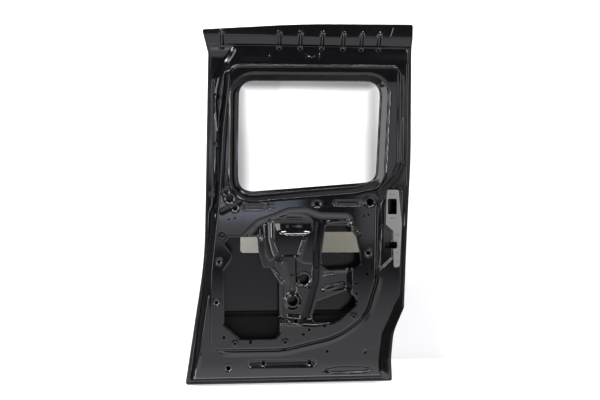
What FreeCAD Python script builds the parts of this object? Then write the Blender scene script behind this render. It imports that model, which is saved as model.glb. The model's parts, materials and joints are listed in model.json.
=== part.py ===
import FreeCAD, Part
import math
import os

V = FreeCAD.Vector

# Sheet gauges
skin_sheet = 1.2
inner_sheet = 1.2
plate_sheet = 2.5
beam_sheet = 2.0

# Door edge, measured from the lower arm seat
sill_z = -82.0
roof_rear_z = 1247.0
roof_front_z = 1218.0
foot_x = -370.0
front_x = -286.0
rear_x = 473.0
arch_x = 400.0
arch_top_z = 192.0
front_bend_z = 385.0
front_tip = 22.0
front_tip_drop = 83.0

# Outer surface: a crowned lower body, a straight lean above the belt, a tight roll under the roof
belt_z = 610.0
lean_angle = 4.0
skin_stand = 52.0
crown_radius = 4550.0
roll_radius = 330.0
roll_z = 1110.0

# Levels of the inner pressing, towards the cabin is negative
island_level = -20.0
ledge_level = -11.0
ledge_width = 13.0
sill_level = -5.0
post_level = 34.0
bell_level = 6.0
pocket_level = 24.0
bead_depth = 5.0
pad_height = 6.0
recess_depth = 7.0
dart_height = 30.0
dart_half = 6.0
dart_rise = 8.0
dart_length = 84.0

# Walls of the pressing
wall_draft = 20.0
ring_draft = 17.0
bell_draft = 40.0
bead_draft = 45.0
island_round = 7.0
bell_round = 6.0
bead_round = 3.0

# Edges of the inner pressing
hem_width = 10.0
hem_room = 0.3
flange_width = 14.0
header_band = 76.0
front_corner_cut = 70.0

# Window
window_front_x = -177.0
window_rear_x = 346.0
window_top_z = 1032.0
window_front_sill_z = 622.0
window_rear_sill_z = 663.0
window_corner = 58.0
glass_flange = 12.0
glass_recess = 8.0
glass_land = 20.0

# Openings
service_front_x = -227.0
service_rear_x = -26.0
service_top_z = 464.0
service_bottom_z = 95.0
latch_access_x = 130.0
latch_access_width = 141.0
latch_access_z = 344.0
latch_access_height = 161.0
rod_access_x = 95.0
rod_access_width = 158.0
rod_access_z = 150.0
rod_access_height = 114.0
slot_front_x = -167.0
slot_rear_x = 306.0
slot_bottom_z = 402.0
slot_height = 77.0
slot_corner = 6.0

# Lower arm seat
arm_bolt_spacing = 169.0
arm_bolt_radius = 4.5
arm_seat_front_x = -142.0
arm_seat_rear_x = 112.0
arm_seat_height = 30.0

# Rear lock
lock_plate_front_x = 372.0
lock_plate_rear_x = 428.0
lock_plate_top_z = 636.0
lock_plate_bottom_z = 350.0
lock_slot_width = 31.0
lock_slot_height = 55.0
lock_slot_z = 547.0
latch_mouth_width = 44.0
latch_mouth_height = 24.0
latch_mouth_z = 420.0
lock_rim = 1.5

# Holes in the panel
boss_x = 23.0
boss_z = 228.0
boss_hole_radius = 18.0
boss_rim = 9.0
boss_height = 10.0
cable_hole_x = 65.0
cable_hole_z = 307.0
cable_hole_radius = 20.0

# Seams between the blanks of the inner pressing
header_seam_z = 1000.0
post_seam_z = 690.0
post_seam_x = 60.0
panel_seam_z = 575.0
latch_seam_x = 345.0
band_seam_z = 52.0

# Beam in the cavity
beam_top_z = 185.0
beam_height = 110.0
beam_depth = 24.0
beam_crest = 22.0
beam_front_x = -262.0
beam_rear_x = 322.0
beam_lip = 16.0
bracket_width = 34.0

# Rails on the skin
rail_depth = 22.0
rail_height = 42.0
rail_lip = 12.0

# Curved rib
rib_width = 22.0
rib_height = 10.0
rib_lip = 3.0
rib_bend = 60.0
rib_end_round = 4.0
rib_line = [(122, 522), (110, 421), (110, 350), (107, 300), (94, 250), (80, 200), (68, 164)]

far = 400.0
least_radius = 0.6


def unit(dx, dz):
    length = math.hypot(dx, dz)
    return dx / length, dz / length, length


# A polygon whose sides are moved outwards, with its corner radii kept concentric
def moved_corners(corners, grow):
    lines = []
    for (x0, z0, _), (x1, z1, _) in zip(corners, corners[1:] + corners[:1]):
        dx, dz, _ = unit(x1 - x0, z1 - z0)
        lines.append((x0 + dz * grow, z0 - dx * grow, dx, dz))
    moved = []
    for index, (xb, zb, bx, bz) in enumerate(lines):
        xa, za, ax, az = lines[index - 1]
        turn = ax * bz - az * bx
        reach = ((xb - xa) * bz - (zb - za) * bx) / turn
        radius = corners[index][2] + math.copysign(grow, turn * grow)
        moved.append((xa + ax * reach, za + az * reach, max(radius, least_radius)))
    return moved


# A closed outline of lines and tangent arcs in the plane at a level
def outline(corners, grow, level):
    moved = moved_corners(corners, grow)
    arcs = []
    for index, (x, z, radius) in enumerate(moved):
        px, pz, _ = moved[index - 1]
        nx, nz, _ = moved[(index + 1) % len(moved)]
        bx, bz, back = unit(px - x, pz - z)
        ax, az, ahead = unit(nx - x, nz - z)
        half = (math.pi - math.acos(bx * ax + bz * az)) / 2
        cut = min(radius * math.tan(half), 0.48 * back, 0.48 * ahead)
        radius = cut / math.tan(half)
        mx, mz, _ = unit(bx + ax, bz + az)
        sag = radius / math.cos(half) - radius
        arcs.append((V(x + bx * cut, level, z + bz * cut), V(x + mx * sag, level, z + mz * sag),
                     V(x + ax * cut, level, z + az * cut)))
    edges = []
    for (start, middle, end), (next_start, _, _) in zip(arcs, arcs[1:] + arcs[:1]):
        edges.append(Part.Arc(start, middle, end).toShape())
        edges.append(Part.LineSegment(end, next_start).toShape())
    return Part.Wire(edges)


def prism(corners, near, deep, grow=0.0):
    return Part.Face(outline(corners, grow, near)).extrude(V(0, deep - near, 0))


def drafted(corners, stages):
    return Part.makeLoft([outline(corners, grow, level) for level, grow in stages], True, True)


# Steps of a rounded edge between a flat and a drafted wall: depth below the flat, distance from the corner
def edge_steps(radius, draft):
    sweep = math.radians(90 - draft)
    reach = radius * math.tan(sweep / 2)
    count = 2 if radius > bead_round else 1
    steps = []
    for step in range(count + 1):
        angle = sweep * step / count
        steps.append((radius - radius * math.cos(angle), reach - radius * math.sin(angle)))
    return steps


def wall_shift(draft, depth):
    return depth * math.tan(math.radians(90 - draft) / 2)


# A raised flat with rounded rim and drafted walls, or the face that lies a sheet's depth behind it
def plateau(corners, top, foot, radius, draft, depth):
    shift = wall_shift(draft, depth)
    steps = edge_steps(max(radius - depth, least_radius), draft)
    stages = [(top + depth + drop, -shift - inset) for drop, inset in steps]
    stages.append((foot, (foot - top - depth) * math.tan(math.radians(draft)) - shift))
    return drafted(corners, stages)


# A recess with rounded mouth and drafted walls, or the face that lies a sheet's depth behind it
def pocket(corners, mouth, floor, radius, draft, depth):
    shift = wall_shift(draft, depth)
    steps = edge_steps(max(radius - depth, least_radius), draft)
    clear = (steps[0][1] - steps[1][1]) / (steps[1][0] - steps[0][0])
    stages = [(mouth + depth - 1, shift + steps[0][1] + clear)]
    stages += [(mouth + depth + drop, shift + inset) for drop, inset in steps]
    stages.append((floor + depth, shift - (floor - mouth) * math.tan(math.radians(draft))))
    return drafted(corners, stages)


def cone(x, z, near, near_radius, deep, deep_radius):
    return Part.makeCone(near_radius, deep_radius, deep - near, V(x, near, z), V(0, 1, 0))


def round_hole(x, z, radius):
    return Part.makeCylinder(radius, 2 * far, V(x, -far, z), V(0, 1, 0))


def box(x0, x1, y0, y1, z0, z1):
    return Part.makeBox(x1 - x0, y1 - y0, z1 - z0, V(x0, y0, z0))


# An oblong along X: centre line ends, half height
def oblong(x0, x1, z, half):
    return [(x0, z - half, 0.95 * half), (x1, z - half, 0.95 * half),
            (x1, z + half, 0.95 * half), (x0, z + half, 0.95 * half)]


# Door edge, anticlockwise seen from the cabin
def door_edge():
    return [(foot_x, sill_z, 12), (arch_x + 3, sill_z, 10), (arch_x, sill_z + 82, 300),
            (arch_x + 11, arch_top_z - 92, 160), (rear_x - 21, arch_top_z, 25),
            (rear_x, 0.61 * roof_rear_z, 3000), (rear_x - 5, roof_rear_z, 12),
            (60, roof_rear_z - 5, 4000), (front_x - front_tip, roof_front_z, 10),
            (front_x, roof_front_z - front_tip_drop, 60), (front_x - 14, front_bend_z, 1500)]


# Leans a solid that was drawn upright about the belt line
def lean(solid):
    turned = solid.copy()
    turned.rotate(V(0, island_level, belt_z), V(1, 0, 0), lean_angle)
    return turned


# Bends a solid that was drawn flat: upright below the belt, leaning above it
def folded(solid):
    below = solid.common(box(-far * 2, far * 2, -far, far, sill_z - far, belt_z))
    above = lean(solid).common(box(-far * 2, far * 2, -far, far, belt_z, roof_rear_z + far))
    return below.fuse(above)


# Everything on the cabin side of the outer surface, drawn back by a depth
def body(depth):
    slope = math.tan(math.radians(lean_angle))
    stand = island_level + (skin_stand - island_level) / math.cos(math.radians(lean_angle))

    def lower(z):
        return stand - slope * (z - belt_z) - (z - belt_z) ** 2 / (2 * crown_radius)

    def upper(z):
        rolled = max(z - roll_z, 0)
        return stand - slope * (z - belt_z) - rolled ** 2 / (2 * roll_radius)

    low = sill_z - 60
    high = roof_rear_z + 40
    shift = V(-2 * far, -depth, 0)
    points = [V(0, lower(low), low), V(0, lower((low + belt_z) / 2), (low + belt_z) / 2),
              V(0, lower(belt_z), belt_z), V(0, upper(roll_z), roll_z),
              V(0, upper((roll_z + high) / 2), (roll_z + high) / 2), V(0, upper(high), high),
              V(0, -far, high), V(0, -far, low)]
    points = [point + shift for point in points]
    edges = [Part.Arc(*points[0:3]).toShape(), Part.LineSegment(*points[2:4]).toShape(),
             Part.Arc(*points[3:6]).toShape()]
    edges += [Part.LineSegment(a, b).toShape() for a, b in
              ((points[5], points[6]), (points[6], points[7]), (points[7], points[0]))]
    return Part.Face(Part.Wire(edges)).extrude(V(4 * far, 0, 0))


def window_corners():
    return [(window_front_x, window_front_sill_z, window_corner),
            (window_rear_x - 8, window_rear_sill_z, 0.8 * window_corner),
            (window_rear_x + 6, window_top_z + 4, window_corner),
            (window_front_x + 4, window_top_z, window_corner)]


def island_corners():
    wall = flange_width + (skin_stand - island_level) * math.tan(math.radians(wall_draft))
    left = front_x + wall
    rear = rear_x - 57
    top = window_top_z + 44
    return [(left - 30, 58, 34), (-10, 58, 300), (190, 104, 250), (290, 180, 90), (327, 300, 120),
            (332, belt_z - 30, 90), (352, belt_z + 24, 60), (rear - 14, belt_z + 78, 40),
            (rear + 4, belt_z + 130, 60), (rear, top, 30), (window_front_x - 28, top - 4, 45),
            (window_front_x - 55, 850, 800), (left + 1, belt_z - 7, 600), (left - 28, 330, 500)]


# Step below the island, along its lower and rear sides and its top
def ledge_corners():
    grown = moved_corners(island_corners(), ledge_width)
    kept = moved_corners(island_corners(), -ledge_width / 2)
    low = (kept[0][0] + ledge_width, grown[0][1], grown[0][2])
    high = (kept[10][0], grown[10][1], grown[10][2])
    return [low] + grown[1:10] + [high] + kept[11:]


def sill_corners():
    rim = flange_width + (skin_stand - sill_level) * math.tan(math.radians(wall_draft))
    edge = moved_corners(door_edge(), -rim)
    top = belt_z + 40
    return edge[0:5] + [(rear_x - rim, top, 10), (front_x + rim, top, 10)] + edge[10:11]


def post_corners():
    rim = flange_width + (skin_stand - post_level) * math.tan(math.radians(wall_draft))
    rear = rear_x - 2 - rim
    front = front_x + rim
    return [(front, belt_z - 120, 20), (rear, belt_z - 120, 20), (rear, roof_rear_z - header_band - 10, 16),
            (front + front_corner_cut, roof_front_z - header_band + 6, 30),
            (front, roof_front_z - header_band - 1.6 * front_corner_cut, 60)]


def bell_corners():
    return [(-40, 152, 18), (105, 140, 40), (160, 150, 40), (240, 215, 40), (242, 530, 14),
            (226, 546, 20), (122, 549, 50), (72, 567, 50), (6, 565, 70), (-45, 543, 70),
            (-106, 523, 60), (-165, 462, 16)]


def service_corners():
    front = service_front_x
    rear = service_rear_x
    top = service_top_z
    low = service_bottom_z
    return [(front + 60, low, 8), (rear - 18, low, 10), (rear, low + 20, 10), (rear, low + 200, 20),
            (rear - 34, top - 112, 12), (rear - 60, top - 116, 10), (rear - 76, top - 60, 20),
            (rear - 80, top, 8), (front + 16, top, 6), (front + 3, top - 22, 8),
            (front + 30, top - 58, 8), (front + 26, top - 82, 8), (front, top - 120, 10),
            (front, low + 54, 10)]


def latch_access_corners():
    x = latch_access_x
    z = latch_access_z
    wide = latch_access_width
    tall = latch_access_height
    return [(x + 26, z, 16), (x + wide - 20, z + 6, 16), (x + wide, z + 20, 12), (x + wide - 2, z + 56, 60),
            (x + wide - 16, z + tall - 42, 20), (x + wide - 46, z + tall, 10), (x + 14, z + tall, 10),
            (x, z + 56, 20), (x + 2, z + 18, 14)]


def rod_access_corners():
    x = rod_access_x
    z = rod_access_z
    wide = rod_access_width
    tall = rod_access_height
    return [(x + 12, z, 8), (x + 78, z, 16), (x + 104, z + 14, 20), (x + wide, z + tall - 53, 16),
            (x + wide, z + tall - 22, 14), (x + wide - 32, z + tall, 10), (x + 18, z + tall - 38, 10),
            (x, z + 18, 8)]


def arm_seat():
    half = arm_seat_height / 2
    return oblong(arm_seat_front_x, arm_seat_rear_x, 0, half)


# Forms of the pressing that are drawn flat
def flat_form(depth):
    window_floor = skin_stand - glass_recess - skin_sheet - inner_sheet
    raised = plateau(sill_corners(), sill_level, far / 4, island_round, wall_draft, depth)
    raised = raised.fuse([
        plateau(post_corners(), post_level, far / 4, island_round, wall_draft, depth),
        plateau(ledge_corners(), ledge_level, far / 4, bead_round, wall_draft, depth),
        plateau(island_corners(), island_level, far / 4, island_round, wall_draft, depth)])
    ring = glass_flange + (window_floor - island_level) * math.tan(math.radians(ring_draft))
    ring_corners = moved_corners(window_corners(), ring)
    sunk = [pocket(ring_corners, island_level, window_floor, island_round, ring_draft, depth),
            pocket(bell_corners(), island_level, bell_level, bell_round, bell_draft, depth)]
    for corners, mouth, floor in beads():
        sunk.append(pocket(corners, mouth, floor, bead_round, bead_draft, depth))
    form = raised.cut(sunk)
    pads = [plateau(corners, bell_level - lift, bell_level + bead_round, bead_round, bead_draft, depth)
            for corners, lift in bell_pads()]
    boss_top = bell_level - boss_height + depth
    rim = boss_hole_radius + boss_rim - wall_shift(bead_draft, depth)
    boss_foot = bell_level + bead_round
    boss = cone(boss_x, boss_z, boss_top, rim, boss_foot, rim + boss_foot - boss_top)
    return form.fuse(pads + [boss])


# Raised pads on the floor of the bell recess: outline, height
def bell_pads():
    flutes = [(-86, 512, 6), (-78, 398, 20), (-60, 368, 10), (-28, 404, 10), (-46, 440, 30), (-46, 512, 6)]
    funnel = [(-40, 372, 8), (-4, 290, 30), (boss_x - 27, boss_z, 12), (boss_x + 25, boss_z, 12),
              (40, 280, 30), (36, 390, 6), (-12, 390, 10)]
    upper = slanted(157, 318, 24, 9, 12)
    lower = slanted(179, 280, 36, 11, 13)
    return [(flutes, pad_height), (funnel, pad_height), (upper, pad_height), (lower, pad_height)]


# An oblong turned in the door plane: centre, half length, half height, angle
def slanted(x, z, reach, half, angle):
    along = math.cos(math.radians(angle)), math.sin(math.radians(angle))
    corners = []
    for run, rise in ((-1, -1), (1, -1), (1, 1), (-1, 1)):
        dx = run * reach * along[0] - rise * half * along[1]
        dz = run * reach * along[1] + rise * half * along[0]
        corners.append((x + dx, z + dz, 0.9 * half))
    return corners


# Stiffening beads and recesses: outline, level around, floor
def beads():
    belt = island_level
    return [(oblong(-33, 89, 507, 33), bell_level, pocket_level),
            (oblong(-156, -86, belt_z - 38, 12), belt, belt + bead_depth),
            (oblong(172, 280, belt_z - 22, 12), belt, belt + bead_depth),
            (arm_seat(), sill_level, 0),
            (lens_corners(), sill_level, sill_level + bead_depth),
            (latch_recess_corners(), sill_level, sill_level + recess_depth)]


def lens_corners():
    return [(119, -24, 6), (160, -41, 20), (290, -40, 20), (330, -24, 6), (290, -14, 20), (190, -12, 20)]


# Recess beside the latch mouth
def latch_recess_corners():
    front = lock_plate_front_x - 22
    low = latch_mouth_z - 78
    return [(front, low, 10), (front + 48, low + 44, 10), (front + 44, low + 145, 8),
            (front + 16, low + 170, 8), (front - 2, low + 156, 8)]


# Ridges across the fold of the header: straight runs with a tapered section
def darts(depth):
    crest = dart_half - wall_shift(bead_draft, depth)
    foot = crest + dart_height
    near = post_level - dart_rise + depth
    low = roof_front_z - header_band - 20
    ridges = []
    for x in (-236, -26, 51, 131, 209, 277, 342):
        points = [V(x - crest, near, low), V(x + crest, near, low), V(x + foot, near + dart_height, low),
                  V(x - foot, near + dart_height, low)]
        run = Part.Face(Part.makePolygon(points + points[:1])).extrude(V(0, 0, dart_length))
        ridges.append(lean(run))
    return ridges


# The space behind the pressing's cabin face, or behind its back face
def pressing_form(depth):
    stack = skin_sheet + inner_sheet - depth
    edge = hem_room + skin_sheet if depth == 0 else -far / 10
    solid = prism(door_edge(), -far / 2, far / 2, -edge)
    ground = solid.cut(body(stack))
    return ground.fuse([folded(flat_form(depth))] + darts(depth)).common(solid)


def inner_pressing():
    sheet = pressing_form(0).cut(pressing_form(inner_sheet))
    window = lean(prism(window_corners(), -far, far))
    cuts = [window]
    for corners in (service_corners(), latch_access_corners(), rod_access_corners()):
        cuts.append(prism(corners, -far, far))
    cuts += [prism(corners, -far, far) for corners in (lock_slot(), latch_mouth())]
    cuts += [round_hole(x, z, radius) for x, z, radius in panel_holes()]
    return sheet.cut(cuts)


# Round holes through the pressing: place and radius
def panel_holes():
    half = arm_bolt_spacing / 2
    return [(-half, 0, arm_bolt_radius), (half, 0, arm_bolt_radius), (boss_x, boss_z, boss_hole_radius),
            (cable_hole_x, cable_hole_z, cable_hole_radius), (-188, belt_z - 40, 8), (307, belt_z - 18, 12),
            (-207, belt_z - 6, 14), (-221, belt_z + 18, 9), (301, 404, 7), (-246, 375, 6), (-255, 228, 6),
            (-212, -13, 8)]


def lock_slot():
    x = lock_plate_front_x + 5
    return [(x, lock_slot_z, 4), (x + lock_slot_width, lock_slot_z, 4),
            (x + lock_slot_width, lock_slot_z + lock_slot_height, 4), (x, lock_slot_z + lock_slot_height, 4)]


def latch_mouth():
    x = lock_plate_front_x - 6
    return [(x, latch_mouth_z, 8), (x + latch_mouth_width, latch_mouth_z, 8),
            (x + latch_mouth_width, latch_mouth_z + latch_mouth_height, 8),
            (x, latch_mouth_z + latch_mouth_height, 8)]


# Outer panel with its window rebate, slot and folded hem
def outer_skin():
    rebate_floor = skin_stand - glass_recess

    def surface(depth):
        rebate = drafted(window_corners(), [(rebate_floor - depth, glass_land),
                                            (rebate_floor - depth + 30, glass_land + 30)])
        return body(depth).cut(lean(rebate))

    skin = surface(0).cut(surface(skin_sheet)).common(prism(door_edge(), -far / 2, far / 2))
    skin = skin.cut([lean(prism(window_corners(), -far, far)), prism(slot_corners(), -far, far)])
    stack = skin_sheet + inner_sheet
    rim = prism(door_edge(), -far / 2, far / 2)
    fold = rim.cut(prism(door_edge(), -far, far, -skin_sheet))
    fold = fold.common(body(0)).cut(body(stack + skin_sheet))
    hem = rim.cut(prism(door_edge(), -far, far, -hem_width))
    hem = hem.common(body(stack)).cut(body(stack + skin_sheet))
    return skin.fuse([fold, hem]).removeSplitter()


def slot_corners():
    top = slot_bottom_z + slot_height
    return [(slot_front_x, slot_bottom_z, slot_corner), (slot_rear_x, slot_bottom_z, slot_corner),
            (slot_rear_x, top, slot_corner), (slot_front_x, top, slot_corner)]


# Hat rib that follows a curved line down the bell recess
def rib_channel():
    half = rib_width / 2
    sides = [(x + half, z) for x, z in reversed(rib_line)] + [(x - half, z) for x, z in rib_line]
    ends = {0, len(rib_line) - 1, len(rib_line), len(sides) - 1}
    corners = [(x, z, rib_end_round if index in ends else rib_bend) for index, (x, z) in enumerate(sides)]
    crest = bell_level - rib_height
    hat = plateau(corners, crest, bell_level, bead_round, wall_draft, 0)
    hollow = plateau(corners, crest, bell_level + 1, bead_round, wall_draft, inner_sheet)
    foot = prism(corners, bell_level - inner_sheet, bell_level, rib_lip)
    return hat.fuse(foot).cut(hollow)


# Plate on the rear edge with the lock slot and the latch mouth
def lock_plate():
    front = lock_plate_front_x
    rear = lock_plate_rear_x
    top = lock_plate_top_z
    low = lock_plate_bottom_z
    waist = latch_mouth_z + latch_mouth_height + 40
    corners = [(front + 26, low, 6), (rear - 8, low, 10), (rear, waist + 20, 60), (rear - 12, top, 8),
               (front, top, 8), (front - 4, waist + 26, 8), (front + 24, waist, 8)]
    plate = prism(corners, sill_level - plate_sheet, sill_level)
    return folded(plate.cut([prism(mouth, -far, far, lock_rim) for mouth in (lock_slot(), latch_mouth())]))


def latch_backing():
    back = sill_level + inner_sheet
    front = lock_plate_front_x - 8
    rear = lock_plate_rear_x - 12
    low = lock_slot_z - 20
    top = lock_plate_top_z - 14
    corners = [(front, low, 8), (rear, low, 8), (rear, top, 8), (front, top, 8)]
    plate = prism(corners, back, back + plate_sheet)
    return folded(plate.cut([prism(mouth, -far, far, lock_rim) for mouth in (lock_slot(), latch_mouth())]))


def lower_arm_plate():
    half = arm_bolt_spacing / 2
    corners = oblong(-half - 30, half + 24, 0, arm_seat_height / 2 - 6)
    plate = prism(corners, inner_sheet, inner_sheet + plate_sheet)
    return plate.cut([round_hole(-half, 0, arm_bolt_radius), round_hole(half, 0, arm_bolt_radius)])


def upper_arm_plate():
    low = roof_front_z - header_band - 62
    back = post_level + inner_sheet
    corners = [(-170, low, 8), (-60, low, 8), (-60, low + 40, 8), (-170, low + 40, 8)]
    return lean(prism(corners, back, back + plate_sheet))


def corner_plate():
    high = roof_rear_z - hem_width - 3
    corners = [(rear_x - 92, high - 42, 12), (rear_x - 24, high - 42, 8), (rear_x - 24, high, 8),
               (rear_x - 92, high, 8)]
    seat = skin_sheet + inner_sheet + hem_room
    plate = prism(corners, -far, far).common(body(seat)).cut(body(seat + skin_sheet))
    return plate.cut(round_hole(rear_x - 36, high - 13, 5))


# Hat section along X, open towards the skin
def hat_rail(x0, x1, z0, height, crest, depth, lip, sheet):
    def section(inset, near, wide):
        points = [V(x0, near, z0 + inset), V(x0, near, z0 + height - inset),
                  V(x0, crest + depth, z0 + height - inset + wide), V(x0, crest + depth, z0 + inset - wide)]
        return Part.Face(Part.makePolygon(points + points[:1])).extrude(V(x1 - x0, 0, 0))

    splay = depth / 3
    hat = section(0, crest, splay).cut(section(sheet, crest + sheet, splay))
    for low in (z0 - splay - lip, z0 + height + splay - sheet):
        hat = hat.fuse(box(x0, x1, crest + depth - sheet, crest + depth, low, low + lip + sheet))
    return hat.removeSplitter()


def intrusion_beam():
    low = beam_top_z - beam_height + beam_lip
    return hat_rail(beam_front_x, beam_rear_x, low, beam_height - 2 * beam_lip, beam_crest, beam_depth,
                    beam_lip / 2, beam_sheet)


# Bracket between the back of a panel at a level and the beam
def beam_bracket(x0, web_x, level):
    near = level + inner_sheet
    x1 = x0 + bracket_width
    low = beam_top_z - beam_height + 2 * beam_lip
    top = beam_top_z - 2 * beam_lip
    feet = [box(x0, x1, near, near + beam_sheet, low, top),
            box(x0, x1, beam_crest - beam_sheet, beam_crest, low, top)]
    web = box(web_x, web_x + beam_sheet, near, beam_crest, low, top)
    return web.fuse(feet).removeSplitter()


# Stiffener on the inside of the skin, trimmed to its curve
def belt_rail():
    low = slot_bottom_z + slot_height + rail_lip + 20
    crest = skin_stand - rail_depth
    tall = rail_height - 2 * rail_lip
    rail = hat_rail(slot_front_x, slot_rear_x, low, tall, crest, rail_depth + 20, rail_lip, inner_sheet)
    return rail.common(body(skin_sheet))


def export(name, shape):
    shape.exportStep("parts/" + name + ".step")
    print(name, len(shape.Solids), shape.isValid(), round(shape.Volume / 1000, 1))


def main():
    os.makedirs("parts", exist_ok=True)
    pressing = inner_pressing()
    side = 2 * far
    blanks = {
        "inner_header": box(-side, side, -far, far, header_seam_z, roof_rear_z + far),
        "inner_front_post": box(-side, post_seam_x, -far, far, post_seam_z, header_seam_z),
        "inner_rear_post": box(post_seam_x, side, -far, far, post_seam_z, header_seam_z),
        "inner_belt_panel": box(-side, latch_seam_x, -far, far, panel_seam_z, post_seam_z),
        "inner_main_panel": box(-side, latch_seam_x, -far, far, band_seam_z, panel_seam_z),
        "inner_latch_post": box(latch_seam_x, side, -far, far, band_seam_z, post_seam_z),
        "inner_sill_band": box(-side, side, -far, far, sill_z - far, band_seam_z),
    }
    for name, region in blanks.items():
        export(name, pressing.common(region))
    export("outer_skin", outer_skin())
    export("rib_channel", rib_channel())
    export("lock_plate", lock_plate())
    export("latch_backing", latch_backing())
    export("lower_arm_plate", lower_arm_plate())
    export("upper_arm_plate", upper_arm_plate())
    export("corner_plate", corner_plate())
    export("intrusion_beam", intrusion_beam())
    export("beam_front_bracket", beam_bracket(beam_front_x, beam_front_x, island_level))
    rear_web = beam_rear_x - beam_sheet
    export("beam_rear_bracket", beam_bracket(beam_rear_x - bracket_width, rear_web, sill_level))
    export("belt_rail", belt_rail())


main()
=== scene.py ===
import json
import math

import bpy
import numpy as np
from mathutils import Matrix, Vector


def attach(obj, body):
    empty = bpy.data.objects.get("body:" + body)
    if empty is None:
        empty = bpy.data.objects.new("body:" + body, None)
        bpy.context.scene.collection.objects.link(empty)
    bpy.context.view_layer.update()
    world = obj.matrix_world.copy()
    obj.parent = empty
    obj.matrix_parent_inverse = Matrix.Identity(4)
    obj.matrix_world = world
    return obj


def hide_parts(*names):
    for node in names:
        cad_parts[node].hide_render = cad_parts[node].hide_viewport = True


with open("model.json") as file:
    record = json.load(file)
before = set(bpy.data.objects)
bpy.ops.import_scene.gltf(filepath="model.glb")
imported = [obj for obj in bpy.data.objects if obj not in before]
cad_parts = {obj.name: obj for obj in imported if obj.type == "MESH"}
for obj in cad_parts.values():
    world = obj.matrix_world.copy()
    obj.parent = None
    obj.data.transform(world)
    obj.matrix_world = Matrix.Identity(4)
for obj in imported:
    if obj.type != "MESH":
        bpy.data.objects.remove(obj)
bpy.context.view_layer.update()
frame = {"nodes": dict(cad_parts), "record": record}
nodes = frame["nodes"]


# Shapes in the door's plane, in millimetres: each gives distance (negative inside) and nearest point


def roundedLoop(corners, grow=0.0, steps=7):
    points = []
    count = len(corners)
    for index, (x, z, radius) in enumerate(corners):
        px, pz = corners[index - 1][:2]
        nx, nz = corners[(index + 1) % count][:2]
        back = np.array([px - x, pz - z], float)
        ahead = np.array([nx - x, nz - z], float)
        backLength, aheadLength = np.linalg.norm(back), np.linalg.norm(ahead)
        back, ahead = back / backLength, ahead / aheadLength
        half = (math.pi - math.acos(np.clip(back @ ahead, -1, 1))) / 2
        cut = min(radius * math.tan(half), 0.48 * backLength, 0.48 * aheadLength)
        corner = np.array([x, z])
        start, end = corner + back * cut, corner + ahead * cut
        for step in np.linspace(0, 1, steps):
            points.append((1 - step) ** 2 * start + 2 * step * (1 - step) * corner + step ** 2 * end)
    loop = np.array(points)
    if grow:
        side = np.roll(loop, -1, axis=0) - np.roll(loop, 1, axis=0)
        side /= np.linalg.norm(side, axis=1)[:, None]
        loop = loop + np.stack([side[:, 1], -side[:, 0]], axis=1) * grow
    return loop


def loopShape(loop):
    low, high = loop.min(0), loop.max(0)

    def measure(x, z):
        best = np.full(x.shape, 1e18)
        nearX, nearZ = np.zeros(x.shape), np.zeros(x.shape)
        inside = np.zeros(x.shape, bool)
        for (x0, z0), (x1, z1) in zip(loop, np.roll(loop, -1, axis=0)):
            dx, dz = x1 - x0, z1 - z0
            size = dx * dx + dz * dz
            if size < 1e-9:
                continue
            along = np.clip(((x - x0) * dx + (z - z0) * dz) / size, 0, 1)
            qx, qz = x0 + along * dx, z0 + along * dz
            gap = (x - qx) ** 2 + (z - qz) ** 2
            closer = gap < best
            best = np.where(closer, gap, best)
            nearX, nearZ = np.where(closer, qx, nearX), np.where(closer, qz, nearZ)
            if dz != 0:
                inside ^= ((z0 > z) != (z1 > z)) & (x < x0 + (z - z0) * dx / dz)
        gap = np.sqrt(best)
        return np.where(inside, -gap, gap), nearX, nearZ

    return measure, low, high


def discShape(cx, cz, radius):
    def measure(x, z):
        gap = np.maximum(np.hypot(x - cx, z - cz), 1e-6)
        return gap - radius, cx + (x - cx) / gap * radius, cz + (z - cz) / gap * radius

    return measure, np.array([cx - radius, cz - radius]), np.array([cx + radius, cz + radius])


def polyline(points):
    def measure(x, z):
        best = np.full(x.shape, 1e18)
        for (x0, z0), (x1, z1) in zip(points[:-1], points[1:]):
            dx, dz = x1 - x0, z1 - z0
            along = np.clip(((x - x0) * dx + (z - z0) * dz) / (dx * dx + dz * dz), 0, 1)
            best = np.minimum(best, (x - x0 - along * dx) ** 2 + (z - z0 - along * dz) ** 2)
        return np.sqrt(best)

    path = np.array(points, float)
    return measure, path.min(0), path.max(0)


def smooth(t):
    t = np.clip(t, 0, 1)
    return t * t * (3 - 2 * t)


# Goes from 0 to 1 over a band given as start and signed length
def rise(value, band):
    return smooth((value - band[0]) / band[1])


# A rounded swell along a line: lift, distance from the line, width
def swell(gap, wave):
    lift, centre, width = wave
    return lift * np.exp(-((gap - centre) / width) ** 2)


# The lower or the higher of two levels, with a round where they meet
def blendMin(a, b, soft):
    share = np.clip(0.5 + 0.5 * (b - a) / soft, 0, 1)
    return b * (1 - share) + a * share - soft * share * (1 - share)


def blendMax(a, b, soft):
    return -blendMin(-a, -b, soft)


# A grid of points in the door's plane, trimmed by shapes and raised by stamps


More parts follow.
